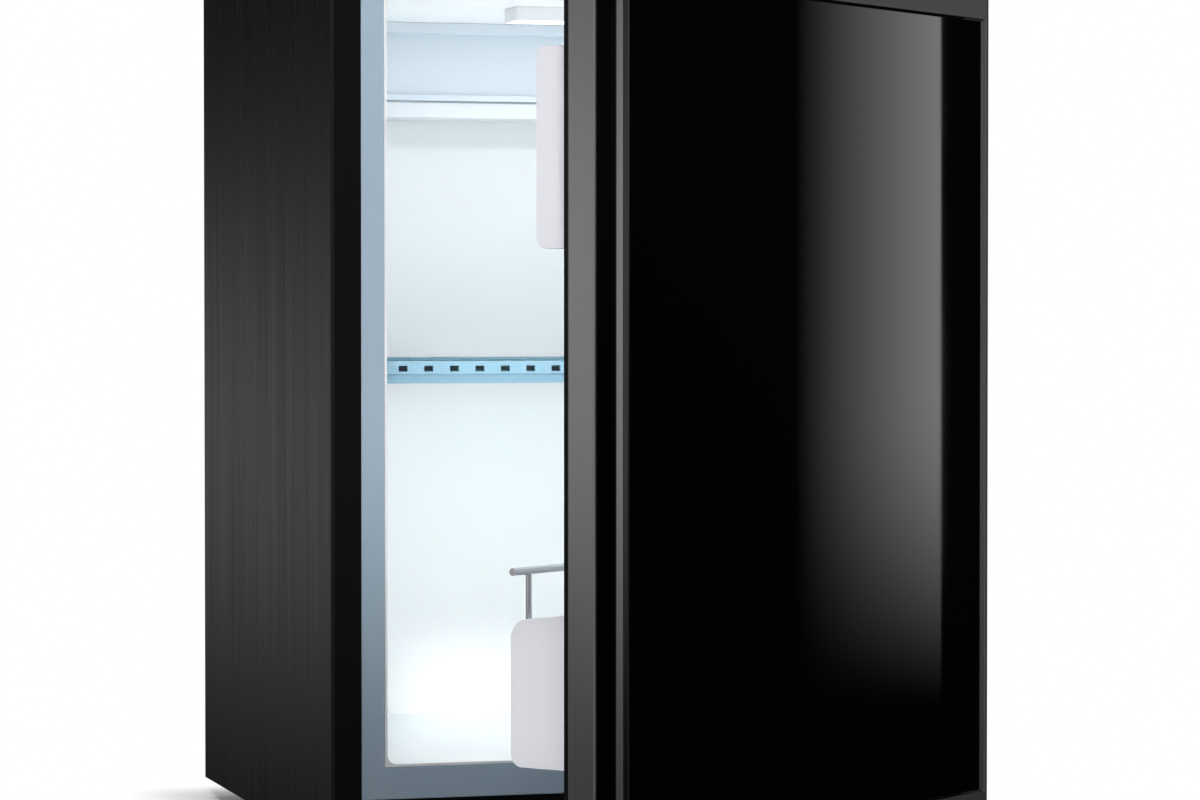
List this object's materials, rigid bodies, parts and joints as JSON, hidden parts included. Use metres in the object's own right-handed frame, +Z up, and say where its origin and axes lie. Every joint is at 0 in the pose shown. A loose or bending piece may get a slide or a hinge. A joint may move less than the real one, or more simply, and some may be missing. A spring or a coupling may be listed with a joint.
{
  "type": "minibar fridge",
  "caption": "Small free-standing hotel fridge with a black steel body, a black glass door standing ajar on vertical pins, lift-off door bins, a glass shelf and an absorption unit behind.",
  "frame": {"origin": "on the floor under the middle of the whole part's box, with the door ajar as stored", "axes": "+Z up, +Y from the front to the rear of the cabinet, +X to the right seen from the front, which is the hinge side"},
  "size_m": [0.4106, 0.6876, 0.5722],
  "materials": {
    "black_steel": "black steel sheet with a vertical brushed grain",
    "rim_black": "satin black rim and hinge plates",
    "unit_black": "black lacquered cooling-unit steel",
    "pan_grey": "galvanised sheet of the base and back",
    "breaker_blue": "blue-grey satin breaker strip",
    "liner_white": "white vacuum-formed liner",
    "bin_white": "white moulded door bin",
    "foam": null,
    "shelf_glass": "clear shelf glass with a dark teal edge",
    "trim_ice": "pale ice-blue shelf trim",
    "fin_aluminium": "bare aluminium fins",
    "door_metal": "satin grey anodised door frame",
    "door_glass": "black back-painted glass",
    "seal_black": "soft black door seal",
    "foot_rubber": "black rubber foot",
    "steel": "plain steel screws and pins",
    "chrome": "bright guard rail",
    "black_plastic": "black moulded plastic",
    "white_plastic": "white moulded plastic",
    "lens": "frosted lamp lens",
    "board": "lamp board",
    "magnet": "magnet strip"
  },
  "bodies": {
    "cabinet": {"cabinet_wrap": "black_steel", "base_pan": "pan_grey", "back_panel": "pan_grey", "front_frame": "rim_black", "breaker_strip": "breaker_blue", "inner_liner": "liner_white", "foam_core": "foam", "shelf_glass": "shelf_glass", "shelf_front_trim": "trim_ice", "shelf_rear_trim": "trim_ice", "evaporator_fins": "fin_aluminium", "evaporator_cover": "liner_white", "drip_tray": "white_plastic", "drain_tube": "white_plastic", "light_housing": "white_plastic", "light_lens": "lens", "led_board": "board", "thermostat_housing": "white_plastic", "feet": "foot_rubber", "foot_screws": "steel", "top_hinge_plate": "rim_black", "bottom_hinge_plate": "rim_black", "top_hinge_pin": "steel", "bottom_hinge_pin": "steel", "hinge_screws": "steel", "reed_switch": "black_plastic", "boiler_jacket": "pan_grey", "heater_cartridge": "steel", "pump_tube": "unit_black", "liquid_tube": "unit_black", "condenser_tube": "unit_black", "condenser_fins": "fin_aluminium", "absorber_coil": "unit_black", "absorber_vessel": "unit_black", "evaporator_tube": "unit_black", "unit_brackets": "pan_grey", "unit_screws": "steel", "back_panel_screws": "steel", "junction_box": "black_plastic", "junction_cover": "black_plastic", "cable_gland": "black_plastic"},
    "door": {"door_glass": "door_glass", "door_top_rail": "door_metal", "door_bottom_rail": "door_metal", "door_handle_stile": "door_metal", "door_hinge_stile": "door_metal", "door_skin": "rim_black", "door_foam": "foam", "door_magnet": "magnet", "door_liner": "liner_white", "door_gasket": "seal_black", "gasket_magnets": "magnet", "top_hinge_bush": "white_plastic", "bottom_hinge_bush": "white_plastic", "door_screws": "steel"},
    "upper_bin": {"upper_bin": "bin_white"},
    "lower_bin": {"lower_bin": "bin_white", "lower_bin_rail": "chrome"},
    "thermostat_dial": {"thermostat_dial": "white_plastic"}
  },
  "joints": [
    {"name": "door_swing", "type": "hinge", "parent": "cabinet", "child": "door", "pos_m": [0.1817, -0.08362, 0], "axis": [0, 0, 1], "range_deg": [-39, 71]},
    {"name": "upper_bin_lift", "type": "slide", "parent": "door", "child": "upper_bin", "axis": [0, 0, 1], "range_m": [0, 0.014]},
    {"name": "lower_bin_lift", "type": "slide", "parent": "door", "child": "lower_bin", "axis": [0, 0, 1], "range_m": [0, 0.014]},
    {"name": "thermostat_turn", "type": "hinge", "parent": "cabinet", "child": "thermostat_dial", "pos_m": [0.1397, 0.09133, 0.4695], "axis": [-1, 0, 0], "range_deg": [-135, 135]}
  ]
}
